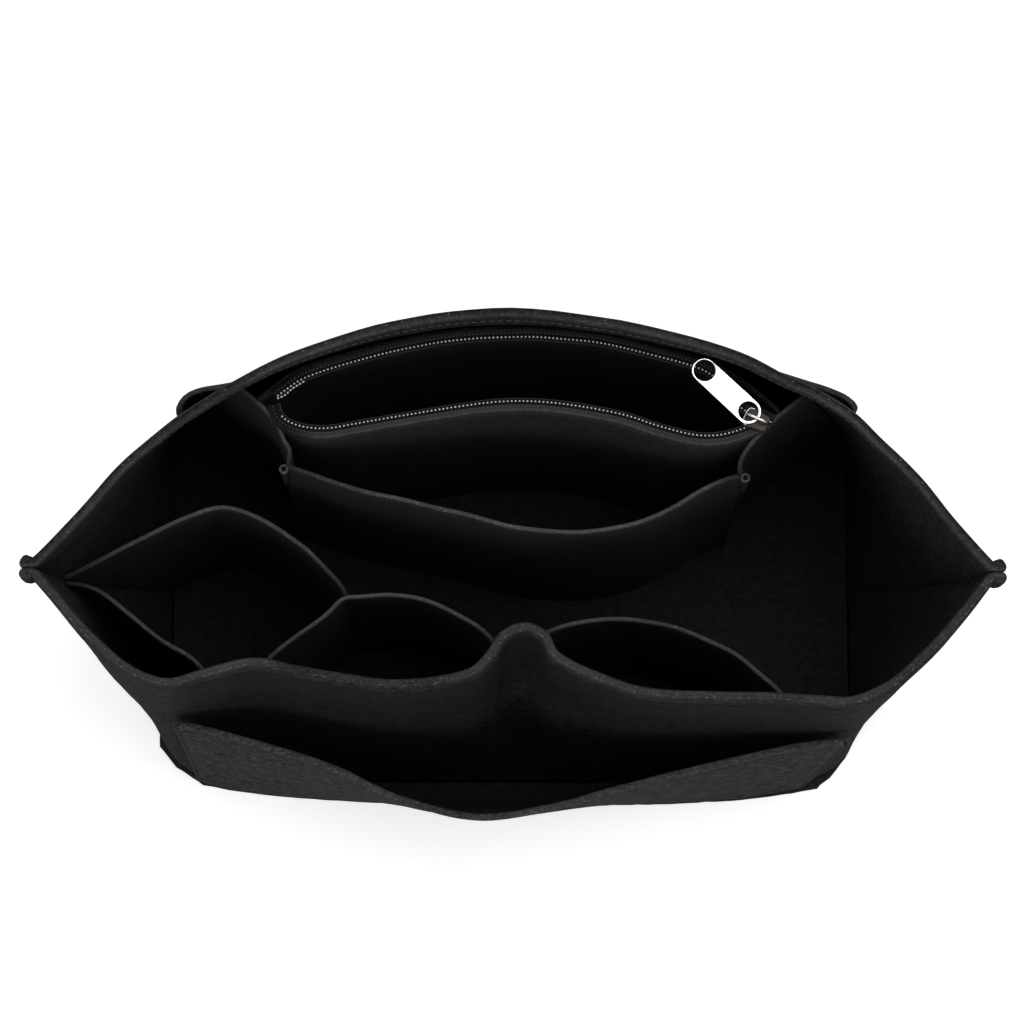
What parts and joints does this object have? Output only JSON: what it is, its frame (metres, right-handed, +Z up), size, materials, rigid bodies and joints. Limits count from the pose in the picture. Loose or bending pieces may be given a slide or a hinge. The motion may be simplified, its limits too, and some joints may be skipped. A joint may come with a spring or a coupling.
{
  "type": "purse organizer insert",
  "caption": "A black felt purse organizer insert with outer pockets, an open zip pocket along the back, a slip pocket, a bottle holder and small pockets along the front.",
  "frame": {"origin": "middle of the outer box, on the surface that the base panel stands on", "axes": "+X along the length to the right as seen from the front, +Y to the back where the zip pocket is, +Z up"},
  "size_m": [0.357, 0.1888, 0.16],
  "materials": {
    "felt": "matte felt with fine fuzz, paler on cut edges",
    "zip_tape": "matte woven tape",
    "zip_teeth": "semi-matte pale grey",
    "zip_metal": "bright plated"
  },
  "bodies": {
    "organizer": {"base_panel": "felt", "front_panel": "felt", "back_panel": "felt", "front_rim_hem": "felt", "back_rim_hem": "felt", "front_outer_pocket": "felt", "back_outer_pocket": "felt", "zip_pocket_lining": "felt", "zip_pocket_front": "felt", "slip_pocket_front": "felt", "left_gusset": "felt", "right_gusset": "felt", "bottle_holder_back": "felt", "bottle_holder_front": "felt", "middle_pocket": "felt", "vial_pocket": "felt", "zip_tape_back": "zip_tape", "zip_tape_front": "zip_tape", "zip_chain_back": "zip_teeth", "zip_chain_front": "zip_teeth"},
    "slider": {"slider_body": "zip_metal", "slider_bail": "zip_metal"},
    "pull": {"pull_tab": "zip_metal"}
  },
  "joints": [
    {"name": "zip_slide", "type": "hinge", "parent": "organizer", "child": "slider", "pos_m": [0.00141, -0.13082, 0.142], "axis": [0, 0, 1], "range_deg": [0, 50], "deforming": ["zip_chain_back", "zip_chain_front", "zip_tape_back", "zip_tape_front"]},
    {"name": "pull_swing", "type": "hinge", "parent": "slider", "child": "pull", "pos_m": [0.09038, 0.0483, 0.1455], "axis": [0.6947, 0.7193, 0], "range_deg": [0, 150]}
  ]
}
